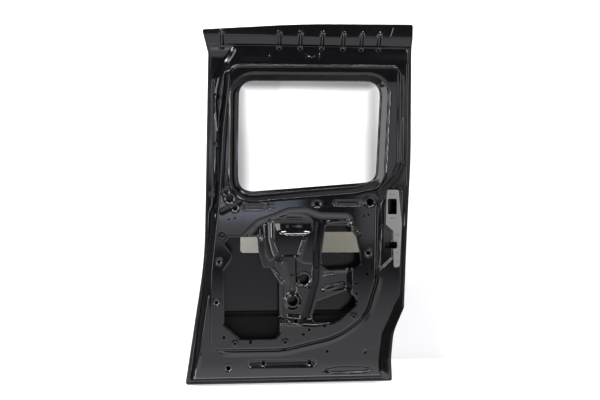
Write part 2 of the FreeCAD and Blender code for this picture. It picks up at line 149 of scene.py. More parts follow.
class Sheet:
    def __init__(self, xRange, zRange, pitch):
        self.pitch = pitch
        xs = np.arange(round(xRange[0] / pitch), round(xRange[1] / pitch) + 1) * pitch
        zs = np.arange(round(zRange[0] / pitch), round(zRange[1] / pitch) + 1) * pitch
        self.x, self.z = np.meshgrid(xs, zs)
        self.cellX, self.cellZ = xs[:-1] + pitch / 2, zs[:-1] + pitch / 2
        self.room = np.full(self.x.shape, 1e9)
        self.edgeX, self.edgeZ = self.x.copy(), self.z.copy()
        self.height = np.zeros(self.x.shape)

    def window(self, low, high, margin):
        rows = np.where((self.z[:, 0] >= low[1] - margin) & (self.z[:, 0] <= high[1] + margin))[0]
        cols = np.where((self.x[0] >= low[0] - margin) & (self.x[0] <= high[0] + margin))[0]
        if not len(rows) or not len(cols):
            return None
        return slice(rows[0], rows[-1] + 1), slice(cols[0], cols[-1] + 1)

    def trim(self, shape, keepInside):
        measure, low, high = shape
        area = (slice(None), slice(None)) if keepInside else self.window(low, high, 3 * self.pitch)
        if area is None:
            return
        gap, nearX, nearZ = measure(self.x[area], self.z[area])
        room = -gap if keepInside else gap
        less = room < self.room[area]
        self.room[area] = np.where(less, room, self.room[area])
        self.edgeX[area] = np.where(less, nearX, self.edgeX[area])
        self.edgeZ[area] = np.where(less, nearZ, self.edgeZ[area])

    def snap(self):
        near = np.abs(self.room) < 0.62 * self.pitch
        self.x[near], self.z[near] = self.edgeX[near], self.edgeZ[near]
        self.room[near] = 0

    def stamp(self, shape, lift, wall):
        measure, low, high = shape
        area = self.window(low, high, 2 * self.pitch)
        if area is None:
            return
        gap = measure(self.x[area], self.z[area])[0]
        self.height[area] += lift * smooth(-gap / wall)

    def ridge(self, points, lift, width):
        measure, low, high = polyline(points)
        area = self.window(low, high, 3 * width)
        if area is None:
            return
        gap = measure(self.x[area], self.z[area])
        self.height[area] += lift * np.exp(-(gap / width) ** 2)

    def bead(self, start, end, half, lift, wall):
        measure, low, high = polyline([start, end])
        area = self.window(low, high, half + self.pitch)
        if area is None:
            return
        gap = measure(self.x[area], self.z[area])
        self.height[area] += lift * smooth((half - gap) / wall)

    def tilt(self, start, end, half, drop):
        area = self.window(np.array(start) - half, np.array(end) + half, 0)
        gap = polyline([start, end])[0](self.x[area], self.z[area])
        upper = (self.z[area] - start[1] + half) / (2 * half)
        self.height[area] -= drop * np.clip(upper, 0, 1) * smooth((half - gap) / 5)

    def ring(self, x, z, radius, lift, width):
        area = self.window((x, z), (x, z), radius + 3 * width)
        if area is None:
            return
        gap = np.hypot(self.x[area] - x, self.z[area] - z) - radius
        self.height[area] += lift * np.exp(-(gap / width) ** 2)

    def serrate(self, start, end, half, lift, teeth):
        low, high = np.minimum(start, end), np.maximum(start, end)
        area = self.window(low, high, half + self.pitch)
        if area is None:
            return
        way = np.subtract(end, start).astype(float)
        length = np.linalg.norm(way)
        way /= length
        x, z = self.x[area] - start[0], self.z[area] - start[1]
        along, across = x * way[0] + z * way[1], x * way[1] - z * way[0]
        fade = smooth((half - np.abs(across)) / 4) * smooth(along / 5) * smooth((length - along) / 5)
        self.height[area] += lift * fade * (0.4 + 0.6 * np.cos(along / length * teeth * 2 * math.pi))

    def solid(self, place, gauge):
        self.front = place(self.x, -self.height, self.z)
        du = np.gradient(self.front, axis=1)
        dv = np.gradient(self.front, axis=0)
        normal = np.cross(dv, du)
        normal /= np.maximum(np.linalg.norm(normal, axis=2), 1e-9)[:, :, None]
        self.back = self.front + gauge * normal

    def piece(self, name, xRange=(-1e9, 1e9), zRange=(-1e9, 1e9)):
        rows = np.where((self.cellZ > zRange[0]) & (self.cellZ < zRange[1]))[0]
        cols = np.where((self.cellX > xRange[0]) & (self.cellX < xRange[1]))[0]
        r, c = [a.ravel() for a in np.meshgrid(rows, cols, indexing="ij")]
        wide = self.x.shape[1]
        first = r * wide + c
        quads = np.stack([first, first + 1, first + wide + 1, first + wide], axis=1)
        isKept = self.room.ravel() >= 0
        good = isKept[quads]
        flatX, flatZ = self.x.ravel(), self.z.ravel()
        faces = [tuple(q) for q in quads[good.all(1)]]
        for quad, ok in zip(quads[good.sum(1) == 3], good[good.sum(1) == 3]):
            faces.append(tuple(quad[ok]))

        def area(face):
            x, z = flatX[list(face)], flatZ[list(face)]
            return 0.5 * np.sum(x * np.roll(z, -1) - z * np.roll(x, -1))

        edge = self.room.ravel() == 0
        kept = []
        for face in faces:
            if edge[list(face)].sum() >= 3 and area(face) < 0.06 * self.pitch ** 2:
                continue
            kept.append(face)
        return solidMesh(name, self.front.reshape(-1, 3), self.back.reshape(-1, 3), kept)


# A closed mesh from front faces: their copy behind, and walls along every open edge
def solidMesh(name, front, back, faces):
    used = sorted({v for face in faces for v in face})
    index = {v: i for i, v in enumerate(used)}
    count = len(used)
    points = np.concatenate([front[used], back[used]]) / 1000
    fronts = [tuple(index[v] for v in face) for face in faces]
    sides = set()
    for face in fronts:
        for a, b in zip(face, face[1:] + face[:1]):
            if (b, a) in sides:
                sides.remove((b, a))
            else:
                sides.add((a, b))
    polygons = list(fronts)
    polygons += [tuple(v + count for v in reversed(face)) for face in fronts]
    polygons += [(b, a, a + count, b + count) for a, b in sorted(sides)]
    mesh = bpy.data.meshes.new(name)
    mesh.from_pydata(points.tolist(), [], polygons)
    mesh.update(calc_edges=True)
    mesh.shade_smooth()
    rims = {tuple(sorted(pair)) for pair in sides}
    rims |= {(a + count, b + count) for a, b in rims}
    ends = np.zeros(len(mesh.edges) * 2, int)
    mesh.edges.foreach_get("vertices", ends)
    ends = np.sort(ends.reshape(-1, 2), axis=1)
    sharp = mesh.attributes.new("sharp_edge", "BOOLEAN", "EDGE")
    sharp.data.foreach_set("value", [tuple(pair) in rims for pair in ends.tolist()])
    thing = bpy.data.objects.new(name, mesh)
    bpy.context.scene.collection.objects.link(thing)
    return thing


# Door form, in millimetres: levels are heights towards the cabin
door = {
    "belt": 610.0, "lean": math.radians(4), "pivot": 20.0, "bend": 20.0, "stand": 52.0,
    "crown": 4550.0, "rollRadius": 330.0, "rollStart": 1110.0, "skin": 1.2, "inner": 1.2,
    "flange": 14.0,
    "edge": [(-370, -82, 12), (403, -82, 10), (400, 0, 300), (411, 100, 160), (452, 192, 25),
             (473, 760.7, 3000), (468, 1247, 12), (60, 1242, 4000), (-308, 1218, 10),
             (-286, 1135, 60), (-300, 385, 1500)],
    "windowEdge": [(-177, 622, 58), (338, 663, 46), (352, 1036, 58), (-173, 1032, 58)],
    "slot": [(-167, 402, 6), (306, 402, 6), (306, 479, 6), (-167, 479, 6)],
}


def skinDepth(z):
    slope = math.tan(door["lean"])
    stand = -door["pivot"] + (door["stand"] + door["pivot"]) / math.cos(door["lean"])
    above = z - door["belt"]
    low = stand - slope * above - above ** 2 / (2 * door["crown"])
    roll = np.maximum(z - door["rollStart"], 0)
    return np.where(z < door["belt"], low, stand - slope * above - roll ** 2 / (2 * door["rollRadius"]))


# Leans what was drawn upright above the belt line
def leaned(x, y, z):
    above, bend, lean = z - door["belt"], door["bend"], door["lean"]
    ramp = np.where(above > bend, above, np.where(above < -bend, 0, (above + bend) ** 2 / (4 * bend)))
    part = smooth((above + bend) / (2 * bend))
    swing = np.sin(lean) * (y + door["pivot"]) * part
    return np.stack([x, y - ramp * np.tan(lean), z - ramp * (1 - np.cos(lean)) + swing], axis=2)


def groundHeight(z):
    upright = door["stand"] - np.maximum(z - door["rollStart"], 0) ** 2 / (2 * door["rollRadius"])
    depth = np.where(z < door["belt"], skinDepth(z), upright)
    return -(depth - door["skin"] - door["inner"])


# Inner pressing: levels and slopes, bands over which they change, then outlines
pressing = {
    "pitch": 2.5, "wallSlope": 2.75, "ringSlope": 3.27, "bellSlope": 1.2, "softSlope": 1.15,
    "island": 19.7, "ledge": 11.0, "sill": 5.0, "post": -34.0, "foldDrop": 11.5, "foldZ": 1164.0,
    "bellFloor": -6.0, "glassFloor": -41.6, "flangeTop": 1246.0, "foldLift": 5.0,
    "flangeRise": (2.45, 0.82, 0.18), "sillFoot": 57.0, "sillEnd": 65.0, "sillFront": (540, 100),
    "sillRear": (632, 12), "postFold": (1090, 70), "softX": (-255, 60), "softZ": (625, -60),
    "steepZ": (1060, 15), "rimZ": (1040, 30), "lowered": 1.5, "loweredZ": (1030, 40), "ledgeTop": 900,
    "moat": (6.5, 7, 6.0), "brim": (2.0, 20, 6.0), "groove": (1.6, -9, 3.0), "grooveZ": (640, -40),
    "glassLand": 12, "ringRear": 7, "ringRearX": (250, 60), "ringTop": 9, "ringTopZ": (985, 40),
    "stepWide": 5, "stepSlope": 3, "stepZ": (720, -40), "bellSoft": 0.25, "bellSoftZ": (430, 60),
    "bellRise": 12, "bellRiseZ": (200, 340),
    "islandEdge": [(-276, 58, 34), (-10, 58, 300), (190, 104, 250), (290, 180, 90), (327, 300, 120),
                   (332, 580, 90), (352, 634, 60), (402, 688, 40), (420, 740, 60), (416, 1088, 30),
                   (-205, 1084, 45), (-232, 850, 800), (-245, 603, 600), (-274, 330, 500)],
    "ledgeEdge": [(-254, 45, 40), (-9, 45, 300), (195, 91, 250), (301, 173, 90), (340, 298, 120),
                  (345, 578, 90), (364, 628, 60), (413, 681, 40), (433, 738, 60), (429, 1089, 30),
                  (-199, 1085, 45), (-225, 850, 800), (-238, 603, 600), (-267, 330, 500)],
    "rearEdge": ((-82, 0, 100, 192, 761), (403, 400, 411, 452, 473)),
    "postEdge": [(-265, 490, 20), (450, 490, 20), (450, 1170, 16), (-195, 1159, 30), (-265, 1035, 60)],
    "bellEdge": [(-40, 152, 18), (105, 140, 40), (160, 150, 40), (240, 215, 40), (242, 530, 14),
                 (226, 546, 20), (122, 549, 50), (72, 567, 50), (6, 565, 70), (-45, 543, 70),
                 (-106, 523, 60), (-165, 462, 16)],
    "service": [(-167, 95, 8), (-44, 95, 10), (-26, 115, 10), (-26, 295, 20), (-60, 352, 12),
                (-86, 348, 10), (-102, 404, 20), (-106, 464, 8), (-211, 464, 6), (-224, 442, 8),
                (-197, 406, 8), (-201, 382, 8), (-227, 344, 10), (-227, 149, 10)],
    "latchAccess": [(156, 344, 16), (251, 350, 16), (271, 364, 12), (269, 400, 60), (255, 463, 20),
                    (225, 505, 10), (144, 505, 10), (130, 400, 20), (132, 362, 14)],
    "rodAccess": [(107, 150, 8), (173, 150, 16), (199, 164, 20), (253, 211, 16), (253, 242, 14),
                  (221, 264, 10), (113, 226, 10), (95, 168, 8)],
    "lockSlot": [(377, 547, 4), (408, 547, 4), (408, 602, 4), (377, 602, 4)],
    "latchMouth": [(366, 420, 8), (410, 420, 8), (410, 444, 8), (366, 444, 8)],
    "holes": [(-84.5, 0, 4.5), (84.5, 0, 4.5), (23, 228, 18), (65, 307, 20), (-188, 570, 8),
              (307, 592, 12), (-207, 604, 14), (-221, 628, 9), (301, 404, 7), (-246, 375, 6),
              (-255, 228, 6), (-212, -13, 8), (-95, 460, 4.5), (111, 585, 6), (-210, 528, 4),
              (-188, 533, 4), (204, 562, 4), (242, 562, 4), (283, 540, 4), (301, 545, 4), (150, 42, 5),
              (139, 138, 5), (246, 173, 4.5), (255, 291, 4.5), (256, 255, 4.5), (257, 226, 4.5),
              (-188, 80, 4), (-6, 83, 4), (295, 327, 5), (33, 155, 6)],
    "slits": [((-228, 95), (-228, 107), 4), ((-138, 81), (-126, 81), 4), ((82, 119), (82, 131), 4.5),
              ((54, 108), (66, 108), 4)],
    "rims": [(-188, 570, 13), (307, 592, 18), (-207, 604, 18), (-221, 628, 13), (301, 404, 12),
             (-246, 375, 10), (-255, 228, 10), (-95, 460, 9), (111, 585, 14), (-212, -13, 12),
             (-84.5, 0, 9), (84.5, 0, 9), (65, 307, 24)],
}
# Rear flange, wide and sloped under the wheel-arch kink
rearFlange = {"fromX": 250, "z": (250, -60), "wide": 22, "level": -52, "slope": 0.66, "highest": -36,
              "buried": -90}

sheet = Sheet((-372.5, 475), (-82.5, 1247.5), pressing["pitch"])
edgeFlat = [(x, z - (2.6 if z > 1000 else 0), r) for x, z, r in door["edge"]]
sheet.trim(loopShape(roundedLoop(edgeFlat, -1.5)), True)
for key in ("service", "latchAccess", "rodAccess", "lockSlot", "latchMouth"):
    sheet.trim(loopShape(roundedLoop(pressing[key])), False)
sheet.trim(loopShape(roundedLoop(door["windowEdge"])), False)
for hole in pressing["holes"]:
    sheet.trim(discShape(*hole), False)
for start, end, half in pressing["slits"]:
    dx, dz = end[0] - start[0], end[1] - start[1]
    wide, tall = (half if dx == 0 else 0), (half if dz == 0 else 0)
    slit = [(start[0] - wide, start[1] - tall, 2), (end[0] + wide, start[1] - tall, 2),
            (end[0] + wide, end[1] + tall, 2), (start[0] - wide, end[1] + tall, 2)]
    sheet.trim(loopShape(roundedLoop(slit)), False)
sheet.snap()
print("pressing outline trimmed")


def bellFloor(z):
    return pressing["bellFloor"] + pressing["bellRise"] * rise(z, pressing["bellRiseZ"])


# The last value of a blend is the size of its round
def formPressing(s):
    form, rear = pressing, rearFlange
    steep = form["wallSlope"]

    def flat(level):
        return np.full(s.x.shape, level)

    def outside(corners):
        return loopShape(roundedLoop(corners))[0](s.x, s.z)[0]

    # Flange of the header
    ground = groundHeight(s.z)
    up = np.clip((s.z - form["foldZ"]) / (form["flangeTop"] - form["foldZ"]), 0, 1)
    foot = groundHeight(np.array(form["foldZ"])) + form["foldLift"]
    head = groundHeight(np.array(form["flangeTop"]))
    first, offset, second = form["flangeRise"]
    curve = blendMin(first * up, offset + second * up, 0.1)
    ground = np.where(up > 0, foot + (head - foot) * curve, ground)
    # Raised band along the edge, and its rear flange
    edge = outside(door["edge"])
    sillFoot = form["sillFoot"] / steep
    sillTop = blendMin(flat(form["sill"]), form["sill"] - (edge + door["flange"] + sillFoot) * steep, 6)
    low = rise(s.z, rear["z"])
    rearGap = s.x - np.interp(s.z, *form["rearEdge"]) + door["flange"]
    insetGap = rearGap + sillFoot + rear["wide"] * low
    inset = blendMin(flat(form["sill"]), form["sill"] - insetGap * steep, 6)
    isRear = s.x > rear["fromX"]
    slant = rear["level"] - rear["slope"] * np.maximum(rearGap, edge + door["flange"])
    apron = np.where(isRear & (low > 0), np.minimum(slant, rear["highest"]), rear["buried"])
    sillTop = blendMax(np.where(isRear, np.minimum(sillTop, inset), sillTop), apron, 3)
    fade = np.where(s.x < 0, rise(s.z, form["sillFront"]), rise(s.z, form["sillRear"]))
    sillTop = sillTop - form["sillEnd"] * fade
    # Posts, ledge and island
    post = form["post"] - form["foldDrop"] * rise(s.z, form["postFold"])
    postTop = blendMin(post, post - outside(form["postEdge"]) * steep, 4)
    island = outside(form["islandEdge"])
    soft = rise(s.x, form["softX"]) * rise(s.z, form["softZ"])
    slope = steep + (form["softSlope"] - steep) * soft + 6 * rise(s.z, form["steepZ"])
    top = form["island"] - form["lowered"] * rise(s.z, form["loweredZ"])
    crest = blendMin(top, top - island * slope, 5 - 3 * rise(s.z, form["rimZ"]))
    ledge = blendMin(flat(form["ledge"]), form["ledge"] - outside(form["ledgeEdge"]) * slope, 4)
    ledge = np.where(s.z > form["ledgeTop"], -60.0, ledge)
    height = blendMax(ground, postTop, 4)
    height = blendMax(height, sillTop, 6)
    height = blendMax(height, ledge, 4)
    height = blendMax(height, crest, 4)
    height -= swell(island, form["moat"]) * soft
    height += swell(island, form["brim"]) * soft
    height -= swell(island, form["groove"]) * (1 - rise(s.z, form["grooveZ"]))
    # Window ring, with a step at its mouth
    window = outside(door["windowEdge"])
    mouth = form["glassLand"] + (form["island"] - form["glassFloor"]) / form["ringSlope"]
    narrow = form["ringRear"] * rise(s.x, form["ringRearX"])
    mouth = mouth - np.maximum(narrow, form["ringTop"] * rise(s.z, form["ringTopZ"]))
    wall = form["island"] - (mouth - window) * form["ringSlope"]
    ring = blendMax(flat(form["glassFloor"]), wall, 10)
    drop = 5 - 3 * rise(s.z, form["stepZ"])
    stepWall = form["island"] - (mouth + form["stepWide"] - window) * form["stepSlope"]
    step = blendMax(form["island"] - drop, stepWall, 2)
    height = np.where(window < mouth + 20, blendMin(blendMin(height, step, 2), ring, 5), height)
    # Bell recess
    bellGap = outside(form["bellEdge"])
    bellSlope = form["bellSlope"] - form["bellSoft"] * rise(s.z, form["bellSoftZ"])
    floor = blendMax(bellFloor(s.z), form["island"] + bellGap * bellSlope, 6)
    height = np.where(bellGap < 12, blendMin(height, floor, 6), height)
    s.height = height


formPressing(sheet)


# Presses the small forms of a region: place, size, lift, and how wide the wall is or how many teeth
def pressForms(region):
    for start, end, half, lift, wall in region.get("beads", ()):
        sheet.bead(start, end, half, lift, wall)
    for points, lift, width in region.get("ridges", ()):
        sheet.ridge(points, lift, width)
    for corners, lift, wall in region.get("fields", ()):
        sheet.stamp(loopShape(roundedLoop(corners)), lift, wall)
    for x, z, radius, lift, wall in region.get("discs", ()):
        sheet.stamp(discShape(x, z, radius), lift, wall)
    for x, z, radius, lift, width in region.get("rings", ()):
        sheet.ring(x, z, radius, lift, width)
    for start, end, half, lift, teeth in region.get("strips", ()):
        sheet.serrate(start, end, half, lift, teeth)


# Header: darts across the fold, pads under it
header = {
    "darts": (-236, -26, 51, 131, 209, 277, 342), "dartFoot": 1156, "dartTop": 1200,
    "pads": (-60, 69, 118), "padFoot": 1110, "padTop": 1134,
    "beads": [((88, 1126), (101, 1126), 7, -1.5, 5)],
    "ridges": [([(380, 1200), (390, 1232)], 2, 4)],
}
for x in header["darts"]:
    sheet.bead((x, header["dartFoot"]), (x, header["dartTop"]), 8, 7, 6)
    sheet.stamp(discShape(x, header["dartFoot"] - 2, 10), 7, 8)
    sheet.ring(x, header["dartTop"] + 7, 6, 2.5, 2.5)
for x in header["pads"]:
    sheet.bead((x, header["padFoot"]), (x + 2, header["padTop"]), 7, 1.1, 7)
pressForms(header)

# Front post: ridge with pads beside the window
frontPost = {
    "ridges": [([(-190, 1140), (-226, 1080), (-244, 1040), (-253, 1000), (-259, 947), (-254, 886),
                 (-252, 817)], 4.5, 4),
               ([(-252, 817), (-259, 799), (-253, 781), (-256, 672)], 4.5, 4)],
    "discs": [(-259, 972, 14, 6, 8), (-258, 800, 11, 6, 7)],
}
pressForms(frontPost)

# Belt: sunk beads with a rib in them, a dimple and a crease
belt = {
    "beads": [((-150, 572), (-91, 572), 12, -6, 6), ((-146, 572), (-95, 572), 5, 3.5, 4),
              ((180, 588), (272, 588), 12, -6, 6), ((184, 588), (268, 588), 5, 3.5, 4)],
    "discs": [(-58, 577, 15, -6, 8)],
    "ridges": [([(-172, 590), (-235, 556)], -2.5, 7)],
}
pressForms(belt)

# Sunk rims round the larger holes
for x, z, radius in pressing["rims"]:
    sheet.stamp(discShape(x, z, radius + 3), -3.2, 6)
    sheet.ring(x, z, radius + 1, 1.4, 2.2)

# Bell recess
bell = {
    "bowlAt": (29, 507), "bowlHalf": (70, 40), "bowlPower": 2.6, "bowlDepth": 16,
    "fields": [
        ([(-86, 512, 6), (-78, 398, 20), (-60, 368, 10), (-28, 404, 10), (-43, 440, 30),
          (-43, 526, 6)], 4.5, 5),  # flutes
        ([(-44, 372, 8), (-4, 290, 30), (-4, 236, 20), (48, 236, 20), (38, 280, 30), (33, 398, 6),
          (-14, 396, 10)], 3.5, 4),  # funnel down to the boss
        ([(36, 298, 8), (46, 282, 8), (92, 274, 6), (100, 366, 6), (62, 370, 6), (50, 380, 8),
          (36, 388, 8)], -4, 4),  # seat of the cable hole
        ([(-22, 140, 4), (-8, 140, 4), (-8, 290, 8), (-22, 300, 8)], 5, 5),  # strip by the opening
        ([(126, 262, 10), (222, 268, 20), (243, 262, 10), (243, 346, 10), (215, 340, 8),
          (128, 338, 10)], -6, 12),  # shelf between the openings
        ([(-4, 138, 6), (54, 138, 6), (58, 176, 10), (-2, 180, 10)], 4, 6),  # foot of the bell
    ],
    "beads": [((2, 531), (52, 531), 7, 4, 5), ((66, 460), (46, 388), 12, 2.5, 8),
              ((153, 519), (232, 523), 6, 4, 4), ((141, 315), (175, 322), 8, 6, 6),
              ((149, 273), (209, 286), 11, 8, 8)],
    "ridges": [([(-61, 520), (-60, 459), (-49, 414), (-42, 396)], -4.5, 5),
               ([(-101, 493), (-101, 466)], 3, 4), ([(-21, 372), (9, 278)], 3.5, 4),
               ([(-9, 366), (16, 276)], -3, 4), ([(20, 320), (22, 272)], 2.5, 3.5)],
    "discs": [(23, 228, 36, 10, 11)],  # boss
    "rings": [(23, 228, 27, -3.5, 4), (8, 152, 7, 2.5, 2.5), (48, 148, 6, 2.5, 2.5),
              (-188, 80, 8, 2, 2.5), (-6, 83, 8, 2, 2.5), (-132, 92, 8, 2, 2.5),
              (246, 173, 8, 2, 2.5), (-235, 470, 8, 2, 2.5)],
    "strips": [((-57, 347), (-6, 290), 10, 4, 9), ((66, 456), (45, 393), 8, 5, 8),
               ((223, 516), (272, 470), 7, 3, 8)],
}
(bowlX, bowlZ), (halfX, halfZ), power = bell["bowlAt"], bell["bowlHalf"], bell["bowlPower"]
bowl = np.abs((sheet.x - bowlX) / halfX) ** power + np.abs((sheet.z - bowlZ) / halfZ) ** power
sheet.height -= bell["bowlDepth"] * np.clip(1 - bowl, 0, 1)
pressForms(bell)

# Edges of the service openings are turned in
for key in ("service", "latchAccess", "rodAccess"):
    sheet.stamp(loopShape(roundedLoop(pressing[key], 5)), -1.8, 5)

# Latch post: recess beside the lock plate
latch = {"fields": [([(348, 338, 10), (398, 384, 10), (394, 487, 8), (366, 512, 8), (346, 498, 10),
                      (338, 352, 10)], -7, 7)]}
pressForms(latch)

# Sill band: arm seat, lens, weld marks
sill = {
    "seat": ((-127, 0), (97, 0), 15), "seatLean": 2.6,
    "welds": (-329, -286, -166, -47, 72, 193, 312), "weldZ": -64,
    "discs": [(290, 41, 9, -3, 6)],
    "fields": [([(119, -24, 6), (160, -41, 20), (290, -40, 20), (330, -24, 8), (290, -14, 20),
                 (190, -12, 20)], -7, 7)],  # lens
    "ridges": [([(-318, 34), (-330, -34)], 5, 6)],
}
sheet.bead(*sill["seat"], -4, 6)
sheet.tilt(*sill["seat"], sill["seatLean"])
pressForms(sill)
for x in sill["welds"]:
    sheet.stamp(discShape(x, sill["weldZ"], 6), -1.2, 3)
print("pressing formed")

sheet.solid(leaned, door["inner"])
blanks = {
    "inner_header": ((-400, 500), (1000, 1300)), "inner_front_post": ((-400, 60), (690, 1000)),
    "inner_rear_post": ((60, 500), (690, 1000)), "inner_belt_panel": ((-400, 345), (575, 690)),
    "inner_main_panel": ((-400, 345), (52.5, 575)), "inner_latch_post": ((345, 500), (52.5, 690)),
    "inner_sill_band": ((-400, 500), (-100, 52.5)),
}
pieces = {}
for name, (xRange, zRange) in blanks.items():
    pieces[name] = sheet.piece(name + "_sheet", xRange, zRange)
print("pressing meshed", {name: len(piece.data.polygons) for name, piece in pieces.items()})

# Outer skin: crowned sheet with window rebate and slot, and a folded hem round its edge
outer = {"pitch": 5.0, "rebate": 8.0, "land": 20.0, "lift": 4.6, "hem": 10.0, "fold": 1.8, "inset": 0.02}
skin = Sheet((-375, 475), (-85, 1250), outer["pitch"])
skin.trim(loopShape(roundedLoop(door["edge"], -0.6)), True)
outerWindow = [(x, z + outer["lift"], r) for x, z, r in door["windowEdge"]]
skin.trim(loopShape(roundedLoop(outerWindow)), False)
skin.trim(loopShape(roundedLoop(door["slot"])), False)
skin.snap()
skin.height = -(skinDepth(skin.z) - door["skin"]) + outer["inset"]
skin.stamp(loopShape(roundedLoop(outerWindow, outer["land"] + 8)), outer["rebate"], 8)
skin.solid(lambda x, y, z: np.stack([x, y, z], axis=2), door["skin"])
pieces["outer_skin"] = skin.piece("outer_skin_sheet")


# Hem: a strip folded over the flange of the pressing, closed along the door edge
def hemStrip(name):
    steps, fold = 16, outer["fold"]
    loop = roundedLoop(door["edge"], -0.25, steps)
    fine = []
    for a, b in zip(loop, np.roll(loop, -1, axis=0)):
        count = max(1, int(np.linalg.norm(b - a) // 12))
        fine += [a + (b - a) * i / count for i in range(count)]
    loop = np.array(fine)
    side = np.roll(loop, -1, axis=0) - np.roll(loop, 1, axis=0)
    side /= np.linalg.norm(side, axis=1)[:, None]
    inward = np.stack([-side[:, 1], side[:, 0]], axis=1)
    turns = np.linspace(0, math.pi, steps)
    section = [(fold - fold * math.sin(a), -fold + fold * math.cos(a)) for a in turns]
    section += [(outer["hem"] - 1, -2 * fold), (outer["hem"], -3.0), (outer["hem"] - 1, -2.5)]
    section += [(fold, -2.5), (fold, 0)]
    points, faces = [], []
    count, wide = len(loop), len(section)
    for (x, z), (ix, iz) in zip(loop, inward):
        for inset, lift in section:
            px, pz = x + ix * inset, z + iz * inset
            depth = float(skinDepth(np.array(pz))) + lift - outer["inset"]
            points.append((px / 1000, depth / 1000, pz / 1000))
    for i in range(count):
        for j in range(wide):
            a, b = i * wide + j, i * wide + (j + 1) % wide
            c, d = ((i + 1) % count) * wide + (j + 1) % wide, ((i + 1) % count) * wide + j
            faces.append((a, d, c, b))
    mesh = bpy.data.meshes.new(name)
    mesh.from_pydata(points, [], faces)
    mesh.update()
    mesh.shade_smooth()
    mesh.set_sharp_from_angle(angle=math.radians(50))
    thing = bpy.data.objects.new(name, mesh)
    bpy.context.scene.collection.objects.link(thing)
    return thing


pieces["hem"] = hemStrip("outer_skin_hem")
print("skin meshed")

# Curved rib beside the bell recess
ribLine = {
    "middle": [(122, 522), (110, 421), (110, 350), (107, 300), (94, 250), (80, 200), (68, 164)],
    "half": 11.0, "height": 7.0, "lip": 3.0, "pitch": 1.5,
}


def ribPiece(name):
    middle, half = ribLine["middle"], ribLine["half"]
    corners = [(x + half, z, 60) for x, z in reversed(middle)] + [(x - half, z, 60) for x, z in middle]
    ends = {0, len(middle) - 1, len(middle), len(corners) - 1}
    corners = [(x, z, 5 if i in ends else r) for i, (x, z, r) in enumerate(corners)]
    rib = Sheet((45, 150), (150, 535), ribLine["pitch"])
    rib.trim(loopShape(roundedLoop(corners, ribLine["lip"])), True)
    rib.snap()
    rib.height = bellFloor(rib.z) + door["inner"] + 0.3
    rib.stamp(loopShape(roundedLoop(corners)), ribLine["height"], 4)
    rib.ring(108, 345, 4, 1.5, 1.5)
    rib.ring(116, 345, 4, 1.5, 1.5)
    rib.solid(lambda x, y, z: np.stack([x, y, z], axis=2), door["inner"])
    return rib.piece(name)


pieces["rib_channel"] = ribPiece("rib_channel_sheet")

# Lock plate on the rear edge
lock = {"face": 7.7, "gauge": 2.4, "bevel": 1.2, "pitch": 1.5, "dot": 2.2,
        "edge": [(398, 350, 6), (420, 350, 10), (428, 504, 60), (416, 636, 8), (372, 636, 8),
                 (368, 510, 8), (396, 484, 8)],
        "dots": [(386, 620), (397, 620), (388, 532), (399, 532), (408, 470), (415, 470), (410, 404),
                 (414, 372)]}


def lockPiece(name):
    plate = Sheet((360, 435), (345, 640), lock["pitch"])
    plate.trim(loopShape(roundedLoop(lock["edge"])), True)
    plate.trim(loopShape(roundedLoop(pressing["lockSlot"], 1.5)), False)
    plate.trim(loopShape(roundedLoop(pressing["latchMouth"], 1.5)), False)
    for x, z in lock["dots"]:
        plate.trim(discShape(x, z, lock["dot"]), False)
    plate.snap()
    plate.height[:] = lock["face"] - lock["bevel"]
    plate.stamp(loopShape(roundedLoop(lock["edge"])), lock["bevel"], 4)
    for key in ("lockSlot", "latchMouth"):
        plate.stamp(loopShape(roundedLoop(pressing[key], 5)), -lock["bevel"], 4)
    plate.solid(leaned, lock["gauge"] - lock["bevel"])
    return plate.piece(name)


pieces["lock_plate"] = lockPiece("lock_plate_sheet")
print("small plates meshed")


# Shared shader groups


def makeGroup(name, inputs, outputs):
    group = bpy.data.node_groups.new(name, "ShaderNodeTree")
    for label, value in inputs:
        socket = group.interface.new_socket(label, in_out="INPUT", socket_type="NodeSocketFloat")
        socket.default_value = value
    for label, kind in outputs:
        group.interface.new_socket(label, in_out="OUTPUT", socket_type=kind)
    return group, group.nodes.new("NodeGroupInput"), group.nodes.new("NodeGroupOutput")


def addMath(tree, operation, a, b=None):
    node = tree.nodes.new("ShaderNodeMath")
    node.operation = operation
    for socket, value in zip(node.inputs, (a, b)):
        if value is None:
            continue
        if isinstance(value, (int, float)):
            socket.default_value = value
        else:
            tree.links.new(value, socket)
    return node.outputs[0]


def addNoise(tree, vector, scale, detail=3.0, stretch=None):
    if stretch:
        mapping = tree.nodes.new("ShaderNodeMapping")
        mapping.inputs["Scale"].default_value = stretch
        tree.links.new(vector, mapping.inputs["Vector"])
        vector = mapping.outputs[0]
    node = tree.nodes.new("ShaderNodeTexNoise")
    node.inputs["Detail"].default_value = detail
    if isinstance(scale, (int, float)):
        node.inputs["Scale"].default_value = scale
    else:
        tree.links.new(scale, node.inputs["Scale"])
    tree.links.new(vector, node.inputs["Vector"])
    return node.outputs[0]


def addRamp(tree, value, low, high):
    node = tree.nodes.new("ShaderNodeMapRange")
    node.interpolation_type = "SMOOTHSTEP"
    node.inputs["From Min"].default_value = low
    node.inputs["From Max"].default_value = high
    tree.links.new(value, node.inputs["Value"])
    return node.outputs[0]


